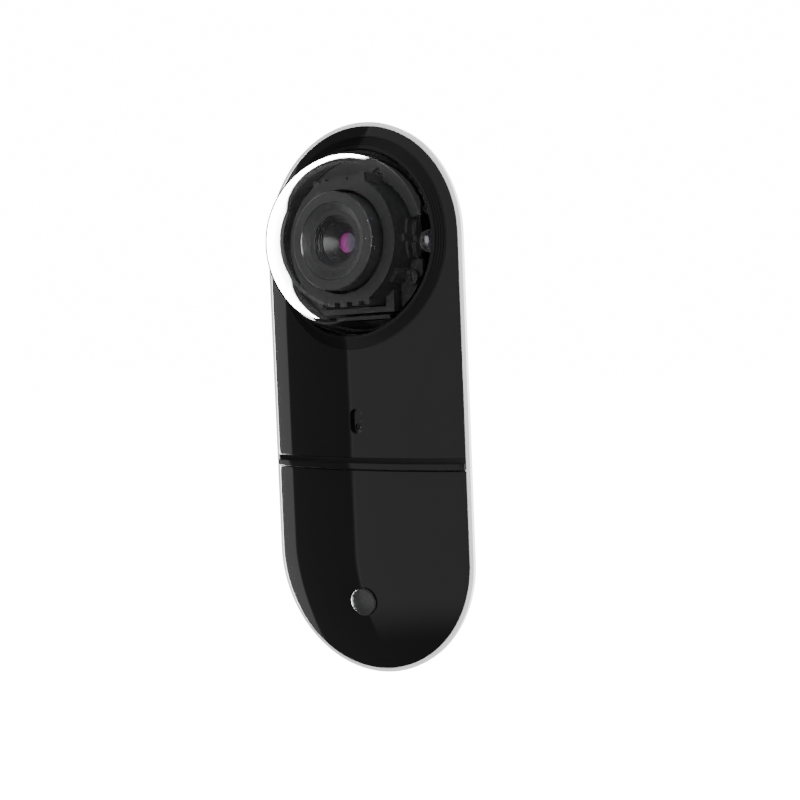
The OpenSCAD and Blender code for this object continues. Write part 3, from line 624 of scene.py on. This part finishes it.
def band_cap(x):
    """Furthest that the band reaches from the wall at x, where its ends are round."""
    over = abs(x) - (HALF_W - BAND_END_R)
    if over <= 0:
        return math.inf
    side = EDGE_D + EDGE_WALL + BAND_PROUD - BAND_END_R
    return side + math.sqrt(max(BAND_END_R ** 2 - over ** 2, 0.0))


def band_piece():
    rows = band_rows()
    stations = band_stations()
    verts = []
    for x in stations:
        for z, proud in rows:
            reach = crown(x, 0) - BAND_BACK if proud is None else crown(x, 0, proud)
            verts.append(at(x, z, max(min(reach, band_cap(x)), EDGE_D)))
    faces = loft(len(stations), len(rows), False)
    band = make_piece("gloss_band", verts, faces, "band_gloss", "unit", ["speaker_band"], 40)
    band.data.materials.append(MAT["band_ledge"])
    for poly in band.data.polygons:
        if poly.normal.y < -0.5 and poly.center.z > BAND_FACE_TOP:
            poly.material_index = 1
    return band


def slot_mesh():
    """Dark acoustic mesh lying in the sound slot under the band."""
    reach, count = HALF_W - MESH_INSET, 60
    low, high = LOWER_TOP + MESH_GAP, BAND_LOW - MESH_GAP
    verts = []
    for i in range(count + 1):
        x = -reach + 2 * reach * i / count
        top = max(crown(x, 0) - MESH_SUNK, EDGE_D + MESH_LEAST)
        verts += [at(x, low, EDGE_D), at(x, high, EDGE_D), at(x, high, top), at(x, low, top)]
    return make_piece("slot_mesh", verts, loft(count + 1, 4, False), "mesh_grey", "unit")


band_piece()
slot_mesh()


# ---------------------------------------------------------------- ring round the dome
def bezel_profile():
    """Loop of (radius, rise above the crown) round the stepped section."""
    profile = [(BEZEL_R, None), (BEZEL_R, -STEP_ROUND)]
    for i in range(STEP_COUNT):
        outer, rise = BEZEL_R - i * STEP_W, i * STEP_H
        groove = outer - STEP_W + GROOVE_W
        if i:
            profile.append((outer - STEP_DRAFT, rise - STEP_H - GROOVE_D))
        profile += [(outer - STEP_ROUND, rise), (groove, rise), (groove - STEP_DRAFT, rise - GROOVE_D)]
    inner, top = BEZEL_R - STEP_COUNT * STEP_W, STEP_COUNT * STEP_H
    profile += [(inner - STEP_DRAFT, top - STEP_H - GROOVE_D), (inner - STEP_ROUND, top), (BEZEL_BORE, top)]
    return profile + [(BEZEL_BORE, "seat"), (BEZEL_SEAT_R, "seat"), (BEZEL_SEAT_R, None)]


def bezel_depth(x, z, rise):
    if rise is None:
        return EDGE_D
    if rise == "seat":
        return EDGE_D + BEZEL_SEAT
    return crown(x, z, rise)


def bezel_piece():
    count = 360
    profile = bezel_profile()
    verts = []
    for i in range(count):
        a = 2 * math.pi * i / count
        for radius, rise in profile:
            x, z = radius * math.cos(a), END_Y + radius * math.sin(a)
            verts.append(at(x, z, bezel_depth(x, z, rise)))
    faces = loft(count, len(profile))
    return make_piece("stepped_ring", verts, faces, "ring_gloss", "unit", ["bezel_ring"])


bezel_piece()


# ---------------------------------------------------------------- clear dome
def quarter(radius, steps=64):
    """Quarter circle of (radius, height) from the foot of the dome to its top."""
    arc = [(radius * math.cos(math.pi / 2 * i / steps), DOME_D + radius * math.sin(math.pi / 2 * i / steps))
           for i in range(steps)]
    return arc + [(0.0, DOME_D + radius)]


def dome_piece():
    inner = DOME_R - DOME_T
    top = DOME_FLANGE + DOME_FLANGE_T
    profile = quarter(DOME_R) + quarter(inner)[::-1]
    profile += [(inner, DOME_FLANGE), (DOME_FLANGE_R, DOME_FLANGE), (DOME_FLANGE_R, top), (DOME_R, top)]
    verts, faces = revolve(profile, 160, on_camera)
    return make_piece("clear_dome", verts, faces, "dome_clear", "unit", ["dome"])


dome_piece()

# ---------------------------------------------------------------- marks on the camera housing, light grey as a painted reflection
WALL_R = 21.1 * MM                                  # side wall of the housing
MARK_PROUD, MARK_SUNK = 0.18 * MM, 0.1 * MM
ARC_LOW, ARC_HIGH = 1.3 * MM, 6.2 * MM              # each broken arc, above and below the middle
ARCS = ((11.8 * MM, 8.9 * MM, 0.9 * MM), (8.5 * MM, 8.0 * MM, 1.9 * MM))        # centre, radius, width
TICKS = ((22.4 * MM, 1.1 * MM, 2.0 * MM), (15.4 * MM, 1.9 * MM, 1.9 * MM))      # centre, width, height


def mark_pad(rows, side):
    """Thin pad on the side wall: rows of (depth of one edge, depth of the other, height)."""
    verts = []
    for near, far, y in rows:
        low, high = (side * math.sqrt(radius * radius - y * y)
                     for radius in (WALL_R - MARK_SUNK, WALL_R + MARK_PROUD))
        verts += [at(x, END_Y + y, d) for x, d in ((low, near), (low, far), (high, far), (high, near))]
    return verts, loft(len(rows), 4, False)


def arc_rows(centre, radius, width, way, steps=12):
    rows = []
    for i in range(steps + 1):
        y = ARC_LOW + (ARC_HIGH - ARC_LOW) * i / steps
        middle = centre + math.sqrt(radius * radius - y * y)
        rows.append((middle - width / 2, middle + width / 2, way * y))
    return rows


def tick_rows(centre, width, tall, steps=4):
    return [(centre - width / 2, centre + width / 2, tall * (i / steps - 0.5)) for i in range(steps + 1)]


def painted_reflection_marks():
    """Broken arcs and square ticks raised on both side walls of the camera housing; their light grey is a
    painted reflection.
    """
    pads = [arc_rows(*arc, way) for arc in ARCS for way in (-1, 1)]
    pads += [tick_rows(*tick) for tick in TICKS]
    verts, faces = [], []
    for side in (-1, 1):
        for rows in pads:
            more_verts, more_faces = mark_pad(rows, side)
            faces += [tuple(len(verts) + i for i in face) for face in more_faces]
            verts += more_verts
    return make_piece("painted_reflection_marks", verts, faces, "camera_housing", "unit", look="painted_reflection_mark")


painted_reflection_marks()

# ---------------------------------------------------------------- rings down to the front lens
HOOD_FRONT = EDGE_D + 13.4 * MM
BAFFLE_R, BAFFLE_DEEP = 10.05 * MM, 6.6 * MM        # outer radius and depth of the whole piece
MOUTH_R, MOUTH_CHAMFER = 8.3 * MM, 0.06 * MM
UPPER_STEPS, UPPER_IN, UPPER_DOWN = 4, 0.46 * MM, 0.62 * MM
FUNNEL_TOP, FUNNEL_IN = 2.84 * MM, 0.05 * MM
LIP_R, LIP_DEEP, LIP_W = 3.3 * MM, 6.86 * MM, 0.3 * MM
LIP_BACK_R = 3.75 * MM
FUNNEL_STEPS = 5


def upper_step(radius, level):
    """One stepped ring near the mouth, with a raised edge before its fall."""
    return [(radius + 0.12 * MM, level + 0.02 * MM), (radius + 0.1 * MM, level - 0.06 * MM),
            (radius - 0.38 * MM, level - 0.02 * MM), (radius - UPPER_IN, level - 0.1 * MM)]


def funnel_groove(radius, level):
    """One fine groove of the funnel."""
    return [(radius + 0.06 * MM, level + 0.08 * MM), (radius + 0.05 * MM, level - 0.05 * MM),
            (radius - 0.04 * MM, level - 0.07 * MM)]


def baffle_piece():
    profile = [(BAFFLE_R, 0.0), (MOUTH_R + MOUTH_CHAMFER, 0.0), (MOUTH_R, -MOUTH_CHAMFER)]
    for i in range(UPPER_STEPS):
        profile += upper_step(MOUTH_R - i * UPPER_IN, -(i + 1) * UPPER_DOWN)
    radius = MOUTH_R - UPPER_STEPS * UPPER_IN
    top = radius - FUNNEL_IN
    profile += [(radius, 0.04 * MM - FUNNEL_TOP), (top, -FUNNEL_TOP)]
    for i in range(1, FUNNEL_STEPS):
        share = i / FUNNEL_STEPS
        profile += funnel_groove(top + (LIP_R - top) * share, (FUNNEL_TOP - LIP_DEEP) * share - FUNNEL_TOP)
    profile += [(LIP_R, -LIP_DEEP), (LIP_R + LIP_W, -LIP_DEEP), (LIP_BACK_R, -BAFFLE_DEEP),
                (BAFFLE_R, -BAFFLE_DEEP)]
    verts, faces = revolve([(r, HOOD_FRONT + h) for r, h in profile], 120, on_camera)
    return make_piece("hood_rings", verts, faces, "baffle_black", "unit", ["hood_baffle"], 24)


baffle_piece()

# ---------------------------------------------------------------- call button
TILT = math.asin((-BUTTON_Z - END_Y) / CROWN_R)
BUTTON_D = CROWN_C + CROWN_R * math.cos(TILT)


def on_button(x, y, h):
    """Point on the button, which stands square on the crown."""
    c, s = math.cos(TILT), math.sin(TILT)
    return at(x, BUTTON_Z + y * c - h * s, BUTTON_D + y * s + h * c)


def button_piece():
    ball = (BUTTON_R ** 2 + BUTTON_BULGE ** 2) / (2 * BUTTON_BULGE)
    edge = BUTTON_R - BUTTON_ROUND
    rings, rounds = 18, 6
    profile = []
    for i in range(rings + 1):
        r = edge * i / rings
        profile.append((r, BUTTON_TOP - ball + math.sqrt(ball * ball - r * r)))
    top_edge = profile[-1][1]
    for i in range(1, rounds + 1):
        a = math.pi / 2 * i / rounds
        fall = BUTTON_ROUND * (1 - math.cos(a)) + 0.01 * MM * i
        profile.append((edge + BUTTON_ROUND * math.sin(a), top_edge - fall))
    under = BUTTON_FLANGE - BUTTON_FLANGE_T
    profile += [(BUTTON_R, BUTTON_FLANGE), (BUTTON_FLANGE_R, BUTTON_FLANGE), (BUTTON_FLANGE_R, under),
                (BUTTON_STEM_R, under), (BUTTON_STEM_R, BUTTON_STEM_END), (0.0, BUTTON_STEM_END)]
    verts, faces = revolve(profile, 96, on_button)
    return make_piece("button_top", verts, faces, "button_gloss", "button", ["button_cap"])


button_piece()

# ---------------------------------------------------------------- camera
AZIMUTH, ELEVATION, ROLL = (math.radians(a) for a in (34.43, 2.49, -2.28))
CAMERA_AT = Vector((0.2186, -0.2986 - EDGE_D, 0.0156))


def view_axes():
    """Right, up and back of the camera, before its roll."""
    sin_a, cos_a = math.sin(AZIMUTH), math.cos(AZIMUTH)
    sin_e, cos_e = math.sin(ELEVATION), math.cos(ELEVATION)
    right = Vector((cos_a, sin_a, 0))
    up = Vector((-sin_a * sin_e, cos_a * sin_e, cos_e))
    back = Vector((sin_a * cos_e, -cos_a * cos_e, sin_e))
    return right, up, back


def place_camera():
    data = bpy.data.cameras.new("camera")
    data.lens = 50.0
    data.sensor_width = 36.0
    data.clip_start = 0.01
    data.clip_end = 50
    right, up, back = view_axes()
    axis_x = right * math.cos(ROLL) + up * math.sin(ROLL)
    axis_y = -right * math.sin(ROLL) + up * math.cos(ROLL)
    camera = bpy.data.objects.new("camera", data)
    bpy.context.scene.collection.objects.link(camera)
    camera.matrix_world = Matrix.Translation(CAMERA_AT) @ Matrix((axis_x, axis_y, back)).transposed().to_4x4()
    return camera


bpy.context.scene.camera = place_camera()

# ---------------------------------------------------------------- studio
WHITE = 16.0                                        # background and floor as the camera sees them
FLOOR_Z = rim_lo.z - 0.4 * MM
FLOOR_HALF = 3.0


def floor_piece():
    """Plain pale floor under the object."""
    count = 24
    ticks = [FLOOR_HALF * (2 * i / count - 1) for i in range(count + 1)]
    verts = [(x, y, FLOOR_Z) for x in ticks for y in ticks]
    faces = []
    for i in range(count):
        for j in range(count):
            k = i * (count + 1) + j
            faces.append((k, k + count + 1, k + count + 2, k + 1))
    mesh = bpy.data.meshes.new("floor")
    mesh.from_pydata(verts, [], faces)
    obj = bpy.data.objects.new("floor", mesh)
    bpy.context.scene.collection.objects.link(obj)
    mat, tree, out = new_material("floor_white")
    shader = add(tree, "ShaderNodeBsdfPrincipled", Roughness=0.9)
    shader.inputs["Base Color"].default_value = (0.9, 0.9, 0.9, 1)
    shader.inputs["Emission Color"].default_value = (1, 1, 1, 1)
    shader.inputs["Emission Strength"].default_value = WHITE
    tree.links.new(shader.outputs[0], out.inputs["Surface"])
    mesh.materials.append(mat)
    obj.visible_glossy = False
    obj.visible_diffuse = False


floor_piece()

# Soft boxes of light: left, right, low and high in degrees, their four soft edges, and the level.
CRESCENT_BOX = (-145, -75.5, -23, 27, (12, 1.5, 3, 4), 1.0)
CRESCENT_SKIRT = (-75.5, -67, -60, 24, (1, 0.4, 8, 5), 0.8)
COVER_PANEL = (-38.6, 52, -22, 52, (0.5, 2, 14, 8), 0.44)
PANEL_EDGE = (-39.4, -38.2, -20, 50, (0.3, 0.3, 10, 8), 0.12)
INSIDE_LAMP = (49, 59, -14, 24, (2, 2, 4, 6), 22.0)
MATTE_LAMP = (40, 160, -60, 70, (10, 10, 10, 10), 5.5)
AMBIENT = 0.2
SLANT = -80.0                                       # turn beyond which the crescent box grows taller
GLOSSY_GAIN, MATTE_GAIN, MIRROR_GAIN = 2.0, 7.0, 84.0

world = bpy.data.worlds.new("world")
bpy.context.scene.world = world
world.use_nodes = True
sky = world.node_tree


def direction():
    """Turn and height of a ray, in degrees.
    Turn is 0 straight in front and plus to the right, height is plus upwards."""
    toward = add(sky, "ShaderNodeTexCoord").outputs["Generated"]
    parts = add(sky, "ShaderNodeSeparateXYZ")
    sky.links.new(toward, parts.inputs[0])
    front = maths(sky, "MULTIPLY", parts.outputs["Y"], -1.0)
    turn = maths(sky, "DEGREES", maths(sky, "ARCTAN2", parts.outputs["X"], front))
    return turn, maths(sky, "DEGREES", maths(sky, "ARCSINE", parts.outputs["Z"]))


def fade(value, start, full):
    """0 at start and 1 at full, whichever way round they lie."""
    node = add(sky, "ShaderNodeMapRange", interpolation_type="SMOOTHSTEP")
    node.inputs["From Min"].default_value = start
    node.inputs["From Max"].default_value = full
    sky.links.new(value, node.inputs["Value"])
    return node.outputs["Result"]


def lamp(left, right, low, high, soft, level, upward=None):
    """A soft rectangle of light; upward replaces the height where the box is not square."""
    upward = height if upward is None else upward
    shape = maths(sky, "MULTIPLY", fade(turn, left - soft[0], left), fade(turn, right + soft[1], right))
    shape = maths(sky, "MULTIPLY", shape, fade(upward, low - soft[2], low))
    shape = maths(sky, "MULTIPLY", shape, fade(upward, high + soft[3], high))
    return maths(sky, "MULTIPLY", shape, level)


turn, height = direction()
ray = add(sky, "ShaderNodeLightPath")
outside = maths(sky, "SUBTRACT", 1.0, maths(sky, "MINIMUM", ray.outputs["Transparent Depth"], 1.0))
glossy = ray.outputs["Is Glossy Ray"]
either = maths(sky, "MULTIPLY_ADD", glossy, GLOSSY_GAIN - MATTE_GAIN, MATTE_GAIN)
mirrored = maths(sky, "MULTIPLY_ADD", maths(sky, "MULTIPLY", glossy, outside), MIRROR_GAIN, either)
inner = maths(sky, "MULTIPLY", glossy, maths(sky, "SUBTRACT", 1.0, outside))
matte = maths(sky, "MULTIPLY", maths(sky, "SUBTRACT", 1.0, glossy), outside)
slant = maths(sky, "DIVIDE", maths(sky, "MULTIPLY", height, SLANT), turn)
total = maths(sky, "MULTIPLY", lamp(*CRESCENT_BOX, slant), mirrored)
for light in (lamp(*CRESCENT_SKIRT), lamp(*COVER_PANEL), lamp(*PANEL_EDGE),
              maths(sky, "MULTIPLY", lamp(*INSIDE_LAMP), inner),
              maths(sky, "MULTIPLY", lamp(*MATTE_LAMP), matte)):
    total = maths(sky, "ADD", total, light)

lit = sky.nodes["Background"]
sky.links.new(maths(sky, "ADD", total, AMBIENT), lit.inputs["Strength"])
lit.inputs["Color"].default_value = (1, 1, 1, 1)
seen = add(sky, "ShaderNodeBackground", Color=(1, 1, 1, 1), Strength=WHITE)
picked = mix_shaders(sky, ray.outputs["Is Camera Ray"], lit.outputs[0], seen.outputs[0])
sky.links.new(picked, sky.nodes["World Output"].inputs["Surface"])
